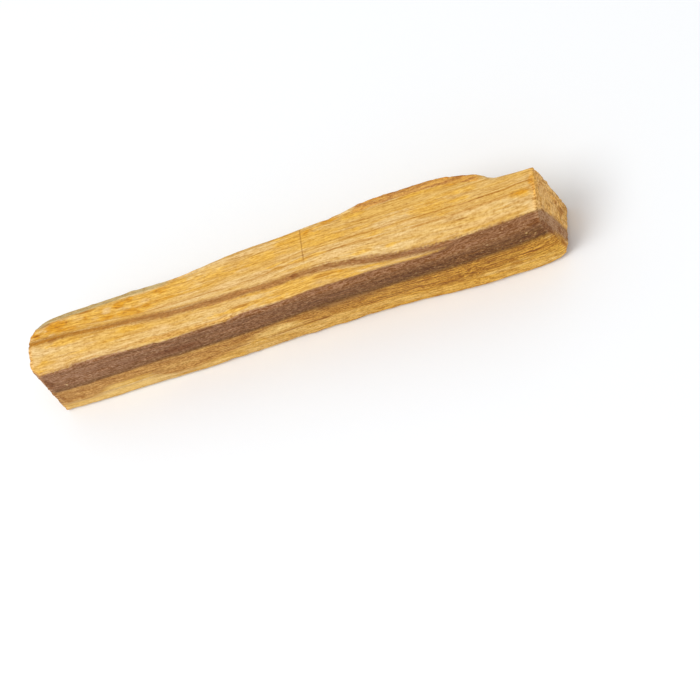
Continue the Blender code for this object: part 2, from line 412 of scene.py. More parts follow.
# Patches of golden wood, resin, paler wood and brown stain, on the top, the front and the right end, from
# left to right. Each is a middle along the side and across or up it, half its length and width, its lean
# and its strength. It is whole in its core, and gone at its rim, both in shares of its half size.
PATCH_CORE = 0.3
PATCH_RIM = 1.5
TOP_GOLDEN = (
    (-47.4, -6.0, 1.4, 0.4, 0.0, 0.6), (-47.0, -4.6, 2.4, 0.5, -0.05, 0.7), (-47.0, 1.5, 1.5, 1.0, 0.0, 0.9),
    (-43.6, 0.7, 3.4, 0.7, 0.0, 0.8), (-42.0, -1.7, 4.5, 0.8, -0.03, 0.8), (-40.5, -1.9, 2.6, 0.4, 0.0, 0.6),
    (-39.0, -4.4, 2.4, 0.3, 0.0, 0.5), (-37.0, 1.4, 9.0, 1.7, -0.02, 0.85), (-37.0, 2.8, 2.4, 0.5, 0.0, 0.7),
    (-36.0, -1.9, 5.0, 0.4, -0.03, 0.5), (-33.0, -4.2, 3.0, 0.4, 0.0, 0.5),
    (-30.4, -2.4, 3.0, 0.4, -0.05, 0.6), (-29.0, -3.2, 3.6, 0.6, -0.05, 0.8),
    (-28.5, 1.7, 3.0, 0.5, 0.0, 0.9), (-27.6, -0.2, 4.0, 0.8, -0.05, 0.8), (-25.0, -4.0, 1.5, 0.9, 0.0, 0.3),
    (-22.0, 1.6, 9.0, 1.6, 0.0, 0.8), (-19.0, 3.0, 3.0, 0.6, 0.0, 1.0), (-14.5, 0.6, 6.0, 0.4, 0.0, 0.6),
    (-12.0, -5.8, 3.5, 0.6, 0.0, 0.5), (-12.0, 2.2, 9.0, 1.4, 0.0, 0.6), (-8.0, -5.8, 3.0, 0.5, 0.0, 0.9),
    (-4.5, -5.5, 5.0, 0.6, 0.0, 0.75), (-4.0, -3.8, 5.0, 0.4, 0.0, 0.7), (-2.0, 2.6, 7.0, 1.3, 0.05, 0.6),
    (-0.8, -6.1, 4.0, 0.5, 0.0, 0.8), (1.0, -0.45, 1.3, 0.35, 0.0, 0.9), (1.5, 0.2, 3.0, 0.5, 0.0, 0.5),
    (2.3, 5.4, 3.2, 0.6, 0.0, 1.0), (3.0, -5.1, 6.0, 1.2, 0.0, 0.8), (3.0, -3.9, 6.0, 0.6, 0.03, 0.9),
    (5.0, 4.2, 6.0, 1.6, 0.05, 0.7), (5.4, -0.25, 2.8, 0.45, 0.0, 0.95), (8.5, -0.1, 2.5, 0.4, 0.0, 0.9),
    (9.0, -4.3, 4.0, 0.6, 0.0, 0.95), (10.0, 2.6, 6.0, 1.6, 0.0, 0.55), (12.0, -5.2, 4.5, 0.9, -0.05, 0.7),
    (14.5, -6.0, 2.2, 0.4, -0.03, 0.8), (16.0, 5.6, 3.0, 1.0, 0.0, 0.8), (17.0, -2.3, 2.5, 0.5, 0.0, 0.7),
    (17.0, 2.0, 3.0, 1.0, 0.0, 0.4), (18.4, -5.5, 3.4, 0.4, -0.1, 0.8), (20.0, 0.4, 2.4, 0.4, 0.0, 0.7),
    (22.8, -2.7, 2.0, 0.4, 0.0, 0.7), (24.0, 2.9, 4.0, 1.2, 0.0, 0.4), (27.5, 5.7, 3.0, 0.5, 0.0, 0.9),
    (30.5, 2.4, 5.0, 1.2, 0.0, 0.75), (31.0, -2.6, 2.0, 0.3, 0.0, 0.3), (31.4, 5.4, 3.0, 0.5, 0.0, 0.5),
    (33.0, 0.1, 2.6, 0.4, 0.0, 0.7), (34.0, 3.2, 4.0, 0.9, 0.0, 0.4), (35.4, 1.9, 3.0, 0.5, 0.0, 0.7),
    (36.6, 3.3, 4.0, 0.6, 0.0, 0.7), (37.0, -4.3, 1.2, 0.3, 0.0, 0.5), (44.0, -2.3, 3.0, 0.3, 0.0, 0.4),
    (46.8, -0.5, 3.5, 0.8, 0.0, 0.8), (48.0, -1.2, 1.4, 0.6, 0.0, 0.7),
)
FRONT_GOLDEN = (
    (-35.5, 4.1, 4.0, 0.9, 0.02, 0.7), (-31.6, 4.8, 2.4, 0.5, 0.0, 0.8), (-15.0, 1.7, 4.0, 0.6, 0.0, 0.6),
    (-8.8, 4.2, 2.2, 0.45, 0.0, 0.8), (1.2, 4.2, 2.0, 0.4, 0.0, 0.7), (18.7, 6.3, 2.5, 0.5, 0.0, 0.9),
    (23.0, 3.9, 2.6, 0.6, 0.0, 0.8), (23.0, 8.8, 2.5, 0.5, 0.0, 0.5), (27.0, 7.0, 3.0, 0.4, 0.0, 0.5),
    (30.8, 6.9, 1.6, 0.4, 0.0, 0.7), (38.1, 9.6, 1.2, 0.4, 0.0, 0.7), (40.5, 7.7, 3.0, 0.6, 0.0, 1.0),
    (41.6, 5.0, 4.0, 0.8, 0.0, 1.0), (44.0, 2.6, 6.0, 0.6, 0.03, 0.3), (44.0, 5.4, 3.0, 0.5, 0.0, 0.8),
    (46.6, 3.9, 2.4, 0.6, 0.0, 1.0), (47.0, 5.0, 2.5, 0.7, -0.05, 0.9), (49.0, 3.2, 1.0, 1.4, 0.3, 0.9),
)
END_GOLDEN = (
    (-6.2, 6.5, 0.5, 2.4, 0.0, 0.7), (-0.6, 8.6, 0.8, 2.0, -0.2, 0.3), (0.0, 15.2, 3.6, 0.9, 0.0, 1.0),
    (0.6, 11.3, 1.0, 1.8, -0.2, 0.8),
)
TOP_RESIN = (
    (-48.0, 1.0, 1.6, 0.7, -0.2, 1.0), (-45.2, 2.7, 1.2, 0.4, 0.1, 0.5), (-44.8, 1.1, 1.2, 0.4, 0.0, 0.7),
    (-43.6, 1.9, 2.6, 1.1, 0.1, 1.0), (-41.5, 0.6, 3.0, 0.5, -0.1, 0.8), (-37.3, 1.6, 0.5, 0.9, 0.0, 0.6),
    (-32.0, 0.3, 3.6, 0.5, 0.0, 0.7), (-30.4, 2.2, 1.4, 0.8, 0.0, 1.0), (-28.4, 2.6, 1.0, 0.6, 0.0, 0.8),
    (-27.5, -0.4, 2.6, 0.6, -0.1, 0.5), (-27.5, 0.4, 5.0, 0.5, -0.02, 0.6), (-22.0, 2.5, 1.8, 0.9, 0.0, 0.6),
    (-21.5, 0.6, 2.5, 0.6, 0.0, 0.5), (-19.5, 3.2, 1.8, 0.4, 0.0, 0.3), (7.0, 4.8, 2.6, 1.0, 0.0, 0.5),
    (11.5, 5.9, 2.2, 0.8, 0.15, 0.8), (11.8, -4.5, 2.5, 0.35, -0.05, 0.5), (18.0, 6.6, 2.4, 0.5, 0.1, 0.5),
    (34.7, 5.4, 2.0, 0.5, 0.0, 0.6), (36.5, 6.0, 2.2, 0.9, -0.2, 0.6), (39.5, 5.1, 1.6, 0.5, -0.2, 0.4),
    (47.4, -0.5, 2.0, 0.45, 0.0, 0.8), (49.3, 1.0, 0.8, 1.0, 0.0, 0.7), (49.6, 0.0, 0.6, 2.4, 0.0, 0.6),
)
FRONT_RESIN = (
    (-49.2, 4.6, 0.8, 2.2, 0.0, 1.0),
)
END_RESIN = (
    (1.3, 7.2, 0.6, 1.3, -0.3, 1.0), (3.2, 14.4, 1.2, 1.6, 0.0, 0.7),
)
TOP_PALE = (
    (-48.5, -1.3, 1.2, 0.6, 0.0, 0.8), (-48.4, 0.6, 0.6, 0.3, 0.0, 0.8), (-48.2, -4.2, 1.4, 0.8, 0.0, 1.0),
    (-47.3, 1.7, 0.5, 0.3, 0.3, 0.8), (-46.4, 1.8, 0.8, 0.4, 0.2, 0.9), (-46.0, -2.7, 3.0, 0.6, -0.05, 0.5),
    (-45.6, 1.5, 0.4, 0.3, 0.0, 0.8), (-44.3, 0.3, 0.9, 0.3, 0.0, 1.0), (-44.0, -5.7, 4.0, 0.5, -0.02, 0.6),
    (-43.3, -6.1, 1.6, 0.4, 0.0, 0.9), (-42.0, 0.15, 0.8, 0.2, 0.0, 0.7), (-41.5, -5.0, 3.0, 0.5, 0.0, 0.7),
    (-38.8, 2.0, 1.7, 0.9, 0.0, 0.4), (-37.4, -3.5, 2.6, 0.4, 0.0, 0.6), (-37.0, -5.2, 3.0, 0.5, 0.0, 0.6),
    (-36.6, -0.4, 1.0, 0.22, 0.0, 0.8), (-35.4, 0.9, 1.2, 0.7, 0.0, 0.5), (-33.0, -2.8, 4.0, 0.4, 0.0, 0.3),
    (-33.0, 1.7, 1.1, 0.8, 0.0, 0.9), (-30.0, 1.2, 1.5, 0.3, 0.0, 0.5), (-29.0, -5.8, 4.0, 0.5, 0.0, 0.5),
    (-25.3, 1.4, 1.4, 0.6, 0.0, 0.7), (-23.0, -4.9, 3.0, 0.9, -0.04, 0.8), (-21.3, 3.2, 1.5, 0.35, 0.0, 0.5),
    (-17.0, -0.1, 4.0, 0.5, 0.0, 0.7), (-16.0, 3.9, 3.0, 0.4, 0.0, 0.7), (-15.0, -4.2, 4.0, 0.5, -0.02, 0.5),
    (-10.0, 4.4, 6.0, 0.5, 0.0, 0.6), (-9.0, -0.2, 4.0, 0.4, 0.0, 0.6), (-8.6, -0.75, 3.0, 0.5, 0.0, 1.0),
    (-5.8, 1.3, 2.0, 0.4, 0.0, 0.7), (-5.0, 4.3, 2.6, 0.35, 0.0, 0.7), (-2.9, -0.2, 1.6, 0.35, 0.0, 0.9),
    (-2.5, -1.6, 5.0, 0.6, 0.03, 0.7), (-2.0, -2.15, 5.0, 0.25, 0.0, 0.7), (-1.2, 4.0, 2.5, 0.45, 0.0, 0.75),
    (2.0, 1.0, 2.4, 0.35, 0.0, 0.5), (2.0, 1.7, 2.0, 0.4, 0.0, 0.5), (2.4, -1.9, 2.6, 0.35, 0.03, 0.8),
    (12.0, -1.2, 5.0, 0.6, 0.05, 0.9), (18.5, -5.8, 2.0, 0.25, 0.0, 0.8), (20.0, 3.4, 2.4, 0.5, 0.0, 0.4),
    (21.9, 1.4, 2.5, 0.4, 0.0, 0.8), (22.0, 0.4, 3.0, 0.3, 0.0, 0.5), (23.0, -1.3, 6.0, 0.7, -0.02, 0.5),
    (26.0, 0.6, 3.0, 0.4, 0.0, 0.7), (26.8, -3.3, 7.0, 0.6, -0.03, 0.45),
    (27.5, -6.0, 5.5, 0.32, -0.01, 1.0), (29.5, -4.2, 2.0, 0.35, 0.0, 0.8), (30.0, 4.3, 6.0, 0.4, 0.0, 0.4),
    (33.4, -4.4, 3.0, 0.5, 0.0, 0.7), (37.0, 0.5, 6.0, 0.5, 0.0, 0.5), (38.0, -1.3, 5.0, 0.5, 0.0, 0.6),
    (38.4, 5.3, 1.5, 0.4, 0.0, 0.7), (40.0, -3.6, 8.0, 0.7, 0.02, 0.75), (45.0, 2.3, 3.0, 0.4, 0.0, 0.4),
    (49.0, -3.4, 1.0, 0.8, 0.0, 0.8),
)
FRONT_PALE = (
    (-44.5, 1.5, 4.6, 0.8, 0.0, 0.8), (-37.0, 4.1, 3.6, 0.6, 0.05, 0.9), (-36.0, 1.7, 7.0, 0.9, 0.0, 0.9),
    (-32.5, 2.2, 5.5, 0.9, 0.0, 0.8), (-26.0, 4.9, 3.0, 0.8, 0.0, 0.45), (-22.8, 4.7, 2.6, 0.5, 0.0, 0.6),
    (-20.0, 7.6, 8.0, 0.4, 0.0, 0.35), (-19.0, 1.7, 5.0, 0.7, 0.0, 0.8), (-13.5, 5.0, 2.6, 0.5, 0.0, 0.5),
    (-11.0, 3.2, 4.0, 0.5, 0.03, 0.6), (-7.2, 6.4, 2.0, 0.5, 0.0, 0.8), (-5.5, 5.6, 4.5, 0.6, 0.08, 0.9),
    (-4.6, 7.3, 2.6, 0.5, 0.0, 0.8), (-2.8, 6.5, 3.0, 0.8, 0.08, 1.0), (-1.4, 3.2, 2.6, 0.5, 0.0, 0.7),
    (1.0, 2.2, 4.0, 0.7, 0.0, 0.7), (7.0, 4.0, 4.5, 0.4, 0.04, 0.2), (8.4, 2.4, 6.0, 0.8, 0.0, 0.6),
    (16.0, 3.3, 5.0, 0.6, 0.0, 0.3), (20.6, 2.2, 2.4, 0.4, 0.0, 0.6), (36.0, 3.8, 3.2, 0.5, 0.02, 0.8),
    (39.8, 3.9, 2.0, 0.4, 0.0, 0.7), (41.0, 3.4, 7.0, 0.6, 0.0, 0.6), (42.4, 5.1, 3.6, 0.5, 0.0, 0.6),
    (44.0, 1.7, 5.0, 0.8, 0.0, 0.45), (46.5, 3.7, 2.2, 0.4, 0.0, 0.6), (47.0, 1.7, 1.6, 0.5, 0.0, 0.7),
    (48.9, 8.9, 1.2, 0.7, 0.0, 0.8),
)
END_PALE = (
    (-2.6, 14.6, 1.0, 0.7, 0.0, 0.9), (-1.8, 15.2, 2.8, 0.6, 0.0, 0.5), (-1.2, 7.0, 0.9, 2.2, -0.2, 0.4),
    (0.5, 6.9, 0.6, 0.9, 0.0, 0.7), (0.6, 11.3, 1.3, 2.2, -0.2, 1.2),
)
TOP_BROWN = (
    (-47.4, 1.0, 1.0, 0.25, 0.0, 0.7), (-45.7, 2.7, 1.4, 0.5, 0.0, 0.8), (-45.6, 0.1, 1.0, 0.3, -0.2, 0.6),
    (-44.2, -0.9, 1.6, 0.5, 0.0, 0.8), (-43.0, 1.5, 1.4, 0.3, 0.1, 0.5), (-42.0, 3.0, 2.0, 0.35, 0.0, 0.5),
    (-41.3, 1.9, 0.3, 0.6, 0.0, 0.6), (-41.1, -0.95, 1.4, 0.35, 0.0, 0.55),
    (-40.6, -6.4, 3.2, 0.4, 0.0, 0.6), (-40.4, -1.6, 3.0, 0.35, 0.0, 0.6), (-37.2, 2.9, 2.6, 0.4, 0.0, 0.75),
    (-32.2, 2.9, 0.6, 0.25, 0.0, 0.5), (-31.5, -6.6, 3.0, 0.45, 0.0, 0.8), (-28.0, 0.3, 2.6, 0.16, 0.0, 0.3),
    (-12.6, -5.5, 1.6, 0.4, 0.0, 0.45), (-9.0, -6.7, 0.4, 0.3, 0.0, 0.8), (-6.6, -5.4, 2.6, 0.4, 0.0, 0.7),
    (-5.5, 3.95, 2.4, 0.12, 0.0, 0.7), (0.4, -5.5, 2.6, 0.6, 0.0, 0.45), (1.4, -0.55, 1.6, 0.2, -0.02, 0.45),
    (3.1, 5.6, 1.7, 0.4, 0.0, 0.5), (3.8, -2.7, 0.9, 0.4, 0.0, 0.9), (5.7, -5.8, 1.6, 0.4, 0.0, 0.5),
    (8.0, -5.6, 2.2, 0.5, 0.0, 0.4), (9.2, -4.4, 2.6, 0.5, 0.0, 0.65), (10.9, -5.7, 1.6, 0.4, 0.0, 0.5),
    (12.4, -0.08, 2.2, 0.14, 0.0, 0.9), (16.6, -5.0, 2.4, 0.5, 0.0, 0.45), (17.0, 2.9, 1.2, 0.1, 0.0, 0.5),
    (17.5, 3.8, 1.8, 0.12, 0.0, 0.8), (18.6, 3.3, 2.2, 0.1, 0.0, 0.7), (19.6, 3.65, 1.8, 0.1, 0.0, 0.6),
    (20.0, 2.7, 2.0, 0.1, 0.0, 0.5), (25.8, 5.7, 1.5, 0.4, 0.0, 0.5), (28.2, -6.5, 1.2, 0.35, 0.0, 0.5),
    (28.5, 2.4, 1.8, 0.2, 0.0, 0.4), (31.2, 5.4, 2.6, 0.4, 0.0, 0.4), (35.2, -2.0, 2.6, 0.14, 0.0, 0.9),
    (40.5, 0.95, 3.2, 0.16, 0.0, 0.8), (49.3, -6.3, 0.7, 0.4, 0.0, 1.0), (49.5, -0.2, 0.5, 0.3, 0.0, 0.6),
    (49.5, 1.2, 0.5, 0.4, 0.0, 0.6),
)
FRONT_BROWN = (
    (-49.0, 10.5, 0.6, 4.0, 0.0, 0.5), (-48.3, 5.0, 0.7, 2.0, 0.0, 0.6), (-47.8, 3.4, 0.9, 0.8, 0.0, 0.6),
    (-47.7, 11.4, 1.0, 2.6, 0.0, 0.75), (-45.3, 3.4, 0.5, 0.7, 0.3, 0.6), (-45.0, 3.6, 0.7, 0.7, 0.0, 0.6),
    (-39.0, 6.0, 4.5, 0.5, 0.0, 0.35), (-34.5, 5.3, 2.0, 0.25, 0.0, 0.6), (-32.4, 6.6, 2.8, 0.4, 0.0, 0.55),
    (-27.0, 2.9, 2.4, 0.25, -0.1, 0.7), (-24.5, 3.1, 1.2, 0.4, 0.0, 0.5), (-22.5, 10.3, 7.0, 1.3, 0.0, 0.7),
    (-16.0, 6.4, 2.2, 0.35, 0.0, 0.5), (-12.0, 4.4, 2.5, 0.3, 0.0, 0.6), (-11.5, 7.0, 3.5, 0.5, 0.05, 0.5),
    (-11.0, 7.1, 0.8, 0.22, 0.0, 0.8), (-8.6, 7.1, 0.9, 0.2, 0.0, 0.7), (-3.5, 4.35, 6.0, 0.26, 0.03, 0.9),
    (3.0, 7.2, 2.0, 0.3, 0.0, 0.4), (3.2, 4.8, 3.2, 0.35, 0.03, 1.0), (5.2, 10.8, 2.2, 0.16, 0.25, 1.0),
    (16.4, 5.25, 3.6, 0.35, 0.0, 0.6), (17.0, 5.0, 3.5, 0.22, 0.0, 0.6), (23.4, 5.2, 0.3, 1.0, 0.3, 0.8),
    (28.5, 5.3, 3.0, 0.5, 0.0, 0.6), (29.5, 4.9, 1.5, 0.3, 0.0, 0.6), (31.0, 7.7, 2.6, 0.25, 0.0, 0.7),
    (33.5, 5.9, 2.4, 0.35, 0.0, 0.6), (36.9, 8.8, 2.5, 0.4, 0.0, 0.2), (38.3, 8.4, 0.3, 0.25, 0.0, 0.8),
    (40.0, 6.9, 2.5, 0.14, 0.0, 0.7), (43.5, 14.7, 2.0, 0.5, 0.0, 0.45), (45.0, 8.5, 3.0, 0.15, 0.0, 0.6),
    (45.5, 6.8, 3.5, 0.2, 0.0, 0.8), (46.2, 14.6, 1.2, 0.5, 0.0, 0.5), (46.6, 6.2, 1.8, 0.4, 0.0, 0.45),
    (48.3, 14.6, 1.2, 0.6, 0.0, 0.6), (48.4, 5.9, 0.8, 0.3, 0.0, 0.3), (49.2, 14.9, 0.7, 0.5, 0.0, 1.0),
)
END_BROWN = (
    (-6.3, 4.3, 0.6, 1.6, 0.0, 0.8), (-6.3, 11.8, 0.8, 3.6, 0.0, 0.95), (-4.3, 5.8, 0.9, 0.8, 0.0, 0.9),
    (-3.8, 8.0, 0.3, 0.8, -0.3, 0.7), (-3.7, 13.3, 0.3, 0.9, -0.3, 0.8), (-2.5, 10.2, 0.5, 1.2, -0.2, 0.5),
    (-0.6, 4.2, 0.6, 0.9, -0.3, 0.7), (0.3, 3.9, 0.9, 1.6, -0.4, 1.0), (1.0, 5.8, 0.6, 0.8, -0.3, 0.8),
    (1.1, 13.2, 0.6, 0.5, 0.0, 0.5), (1.6, 2.4, 0.5, 0.7, 0.0, 0.6), (2.0, 12.2, 0.4, 1.6, -0.2, 0.7),
)


def patches_at(place, height, patches):
    """How strong the strongest patch is at a place on a side: 0 where there is none, soft at the rim."""
    strongest = 0.0
    for middle, level, half_length, half_width, lean, strength in patches:
        aside = place - middle
        reach = math.hypot(aside / half_length, (height - level - lean * aside) / half_width)
        strongest = max(strongest, strength * (1.0 - ease(PATCH_CORE, PATCH_RIM, reach)))
    return strongest


def patches_on_sides(top, front, end):
    """The patches at each point, for whichever side it belongs to."""
    found = []
    for index, vertex in enumerate(stick.data.vertices):
        x, across, up = vertex.co / MM
        found.append(max(
            patches_at(x, across, top) * on_top[index],
            patches_at(x, up, front) * on_front[index],
            patches_at(across, up, end) * on_right_end[index],
        ))
    return found


def keep_with_points(name, values):
    """Keeps one value a point in the mesh, for the material to read."""
    layer = stick.data.attributes.new(name, "FLOAT", "POINT")
    layer.data.foreach_set("value", values)


keep_with_points("heartwood", heartwood)
keep_with_points("stripe", stripe)
keep_with_points("amber", amber)
keep_with_points("ring", rings)
keep_with_points("golden", patches_on_sides(TOP_GOLDEN, FRONT_GOLDEN, END_GOLDEN))
keep_with_points("resin", patches_on_sides(TOP_RESIN, FRONT_RESIN, END_RESIN))
keep_with_points("pale", patches_on_sides(TOP_PALE, FRONT_PALE, END_PALE))
keep_with_points("brown", patches_on_sides(TOP_BROWN, FRONT_BROWN, END_BROWN))
keep_with_points("bark", bark)
keep_with_points("grey", strip_along_back(GREY_FROM, GREY_TO, GREY_FADE, GREY_WIDTH))
keep_with_points("face_front", on_front)
keep_with_points("face_top", on_top)
keep_with_points("face_end", on_ends)

# The wood itself, raw and unfinished: honey-coloured with fine streaks and pores, matt to slightly silky.
# Its streaks follow the growth rings that the mesh keeps, so they run on from one side to the next.
wood = bpy.data.materials.new("palo_santo_wood")
wood.use_nodes = True
shader = wood.node_tree.nodes["Principled BSDF"]


def colour(red, green, blue):
    """A colour as a painter's chart gives it, 0 to 255, made linear."""
    return [((c / 255 + 0.055) / 1.055) ** 2.4 for c in (red, green, blue)] + [1.0]


def add_node(kind, sockets, **settings):
    """A node of the wood's material, with each socket given a value or joined to another node."""
    made = wood.node_tree.nodes.new(kind)
    for name, value in settings.items():
        setattr(made, name, value)
    for name, value in sockets.items():
        if isinstance(value, bpy.types.NodeSocket):
            wood.node_tree.links.new(value, made.inputs[name])
        else:
            made.inputs[name].default_value = value
    return made


def kept(name):
    """A value that the mesh keeps with its points."""
    return add_node("ShaderNodeAttribute", {}, attribute_name=name).outputs["Fac"]


def plus(first, second):
    """The sum of two values."""
    return add_node("ShaderNodeMath", {0: first, 1: second}, operation="ADD").outputs[0]


def minus(first, second):
    """The first value less the second."""
    return add_node("ShaderNodeMath", {0: first, 1: second}, operation="SUBTRACT").outputs[0]


def times(first, second):
    """The product of two values."""
    return add_node("ShaderNodeMath", {0: first, 1: second}, operation="MULTIPLY").outputs[0]


def size_of(value):
    """A value without its sign."""
    return add_node("ShaderNodeMath", {0: value}, operation="ABSOLUTE").outputs[0]


def held(value):
    """Held between 0 and 1."""
    return add_node("ShaderNodeMath", {0: value, 1: 0.0}, operation="ADD", use_clamp=True).outputs[0]


def swing(noise, reach):
    """A noise of 0 to 1 made to swing both ways about nothing, as far as the reach."""
    return times(minus(noise, 0.5), 2.0 * reach)


def between(value, low, high):
    """0 below low, 1 above high, smooth between them."""
    sockets = {"Value": value, "From Min": low, "From Max": high}
    return add_node("ShaderNodeMapRange", sockets, interpolation_type="SMOOTHSTEP").outputs["Result"]


def mixed(share, first, second, blend="MIX"):
    """The second colour laid over the first by the share."""
    sockets = {0: share, 6: first, 7: second}
    return add_node("ShaderNodeMix", sockets, data_type="RGBA", blend_type=blend).outputs[2]


def tinted(base, red, green, blue):
    """A colour made deeper by factors under 1, or paler by factors over 1."""
    return mixed(1.0, base, (red, green, blue, 1.0), "MULTIPLY")


def streaks(length, width, rise=0.0, detail=2.0, roughness=0.5, shift=0.0):
    """Noise drawn out along the grain: streaks of a length, a width and, if it differs, a rise, in mm."""
    stretched = add_node(
        "ShaderNodeVectorMath",
        {0: in_the_grain, 1: (1 / length, 1 / width, 1 / (rise or width)), 2: (shift, shift, shift)},
        operation="MULTIPLY_ADD",
    )
    sockets = {"Vector": stretched.outputs[0], "Scale": 1.0, "Detail": detail, "Roughness": roughness}
    return add_node("ShaderNodeTexNoise", sockets).outputs["Fac"]


def line_at(number, half_width, broken):
    """A thin line along one growth ring, wavering and broken where the noise given is low."""
    off = size_of(minus(plus(ring, waver), number))
    line = minus(1.0, between(off, 0.4 * half_width, 1.6 * half_width))
    return times(line, broken)


position = add_node("ShaderNodeTexCoord", {}).outputs["Object"]
in_mm = add_node("ShaderNodeVectorMath", {0: position, 3: 1000.0}, operation="SCALE").outputs[0]
x_mm, y_mm, z_mm = add_node("ShaderNodeSeparateXYZ", {0: in_mm}).outputs
ring = kept("ring")
in_the_grain = add_node("ShaderNodeCombineXYZ", {0: x_mm, 1: ring, 2: z_mm}).outputs[0]
towards_right = between(x_mm, -45.0, 35.0)
front_face = kept("face_front")
top_face = kept("face_top")
end_face = kept("face_end")

broad = streaks(24.0, 1.5)
patchy = streaks(5.0, 0.9, shift=3.0)
streak = streaks(7.0, 0.3, detail=3.0, shift=11.0)
fine = streaks(1.6, 0.16, detail=2.0, shift=23.0)
grit = streaks(0.42, 0.26, detail=2.0, roughness=0.6, shift=37.0)
crumb = streaks(0.62, 0.5, detail=2.0, roughness=0.6, shift=71.0)
thread = streaks(14.0, 0.34, detail=2.0, shift=83.0)
thin_thread = streaks(8.0, 0.22, detail=1.0, shift=97.0)
waver = swing(streaks(4.0, 2.5, shift=47.0), 0.35)

# sapwood: pale and golden bands; towards the right of the front, painted shade and warm reflected light
# make them darker and more orange
golden = between(plus(broad, swing(streak, 0.15)), 0.36, 0.62)
pale_wood = mixed(times(front_face, towards_right), colour(227, 193, 131), colour(230, 180, 82))
golden_wood = mixed(times(front_face, towards_right), colour(217, 171, 87), colour(214, 158, 54))
body = mixed(golden, pale_wood, golden_wood)

# wood soaked golden, then growth rings: brownish lines, thin and broken
blot = streaks(1.6, 0.8, detail=3.0, roughness=0.6, shift=211.0)
patch_edge = plus(swing(streak, 0.3), plus(swing(blot, 0.45), swing(grit, 0.2)))
golden_resin = mixed(between(fine, 0.35, 0.65), colour(214, 158, 50), colour(231, 180, 72))
body = mixed(times(between(plus(kept("golden"), patch_edge), 0.1, 0.8), 0.85), body, golden_resin)
ring_noise = plus(streaks(80.0, 0.8, detail=1.0, shift=5.0), swing(fine, 0.02))
ring_line = minus(1.0, between(size_of(minus(ring_noise, 0.5)), 0.0, 0.045))
body = mixed(times(ring_line, times(between(patchy, 0.4, 0.65), 0.5)), body, colour(192, 138, 56))
body = mixed(times(between(thread, 0.54, 0.64), 0.5), body, colour(194, 140, 54))
body = mixed(times(between(thin_thread, 0.56, 0.66), 0.4), body, colour(178, 122, 42))
near_ring = times(between(patchy, 0.2, 0.45), 0.7)
body = mixed(line_at(NEAR_RING_NUMBER, 0.13, near_ring), body, colour(190, 134, 56))
far_ring = times(between(patchy, 0.25, 0.5), plus(0.35, times(between(x_mm, -10.0, 20.0), 0.65)))
body = mixed(line_at(FAR_RING_NUMBER, 0.13, far_ring), body, colour(188, 132, 50))

# paler wood, deep spots of resin, and the sawn ends, redder and painted lighter to stand in for light
# falling on them, with the layers standing in them
deep_resin = mixed(between(fine, 0.35, 0.65), colour(192, 124, 6), colour(216, 152, 28))
palest_wood = mixed(front_face, colour(226, 188, 125), colour(236, 195, 114))
soaked = between(plus(kept("resin"), patch_edge), 0.2, 0.8)
body = mixed(times(between(plus(kept("pale"), swing(streak, 0.5)), 0.2, 0.95), 0.85), body, palest_wood)
body = mixed(times(soaked, minus(0.9, times(kept("pale"), 0.8))), body, deep_resin)
layer = streaks(7.0, 0.4, rise=3.0, shift=151.0)
on_end = times(end_face, minus(1.0, times(kept("pale"), 0.7)))
body = mixed(times(end_face, 0.4), body, colour(250, 186, 92))
body = mixed(times(between(layer, 0.5, 0.66), times(on_end, 0.45)), body, colour(168, 116, 56))
body = mixed(times(between(layer, 0.48, 0.34), times(on_end, 0.35)), body, colour(228, 184, 108))

# amber wood between the heartwood and the foot of the front
# towards the right the amber is partly its own deeper colour, partly painted warm reflected light
amber_dark = mixed(towards_right, colour(170, 117, 55), colour(170, 112, 31))
amber_light = mixed(towards_right, colour(206, 156, 86), colour(222, 163, 57))
ragged = plus(swing(streak, 0.45), swing(grit, 0.7))
in_amber = between(plus(kept("amber"), plus(swing(patchy, 1.0), plus(ragged, swing(crumb, 1.0)))), -0.8, 0.8)
in_amber = times(in_amber, minus(1.0, times(kept("pale"), 0.85)))
in_amber = times(in_amber, minus(1.0, times(kept("golden"), 0.55)))
amber_wood = mixed(between(plus(streak, swing(grit, 0.15)), 0.34, 0.66), amber_dark, amber_light)
body = mixed(in_amber, body, amber_wood)
amber_lines = between(streaks(9.0, 0.28, detail=1.0, shift=173.0), 0.5, 0.62)
body = mixed(times(times(amber_lines, in_amber), times(towards_right, 0.7)), body, colour(146, 90, 14))
in_middle = times(between(x_mm, 1.0, 6.0), minus(1.0, between(x_mm, 14.0, 21.0)))
by_heartwood = times(times(between(kept("heartwood"), -2.6, 0.0), in_amber), times(front_face, in_middle))
body = mixed(times(by_heartwood, 0.9), body, colour(144, 98, 46))

# the thin brown stripe and the heartwood
in_stripe = between(plus(kept("stripe"), ragged), -0.5, 0.4)
stripe_colour = mixed(between(x_mm, -42.0, -16.0), colour(163, 108, 30), colour(158, 109, 55))
stripe_colour = mixed(between(x_mm, 2.0, 32.0), stripe_colour, colour(142, 98, 60))
stripe_light = tinted(stripe_colour, 1.35, 1.35, 1.35)
stripe_streaks = between(plus(streak, swing(crumb, 0.4)), 0.4, 0.8)
body = mixed(in_stripe, body, mixed(stripe_streaks, stripe_colour, stripe_light))
low_down = minus(1.0, between(z_mm, 11.5, 13.0))
on_foot = times(times(front_face, low_down), plus(0.2, times(towards_right, 0.5)))
foot_reach = plus(plus(on_foot, times(end_face, 0.5)), 0.2)
heart_edge = plus(swing(streak, 0.2), swing(grit, 0.3))
in_heart = between(plus(kept("heartwood"), heart_edge), times(foot_reach, -1.0), foot_reach)
# the heartwood darkens and deepens towards the right: partly its own colour, partly painted shade
heart_light = mixed(towards_right, colour(168, 122, 86), colour(139, 90, 42))
heart_dark = mixed(towards_right, colour(130, 87, 53), colour(99, 57, 16))
heart = mixed(between(plus(streak, swing(grit, 0.2)), 0.3, 0.7), heart_dark, heart_light)
heart = mixed(times(between(broad, 0.5, 0.62), 0.22), heart, colour(116, 82, 38))
heart_rim = times(minus(1.0, between(kept("heartwood"), 0.2, 1.8)), times(front_face, low_down))
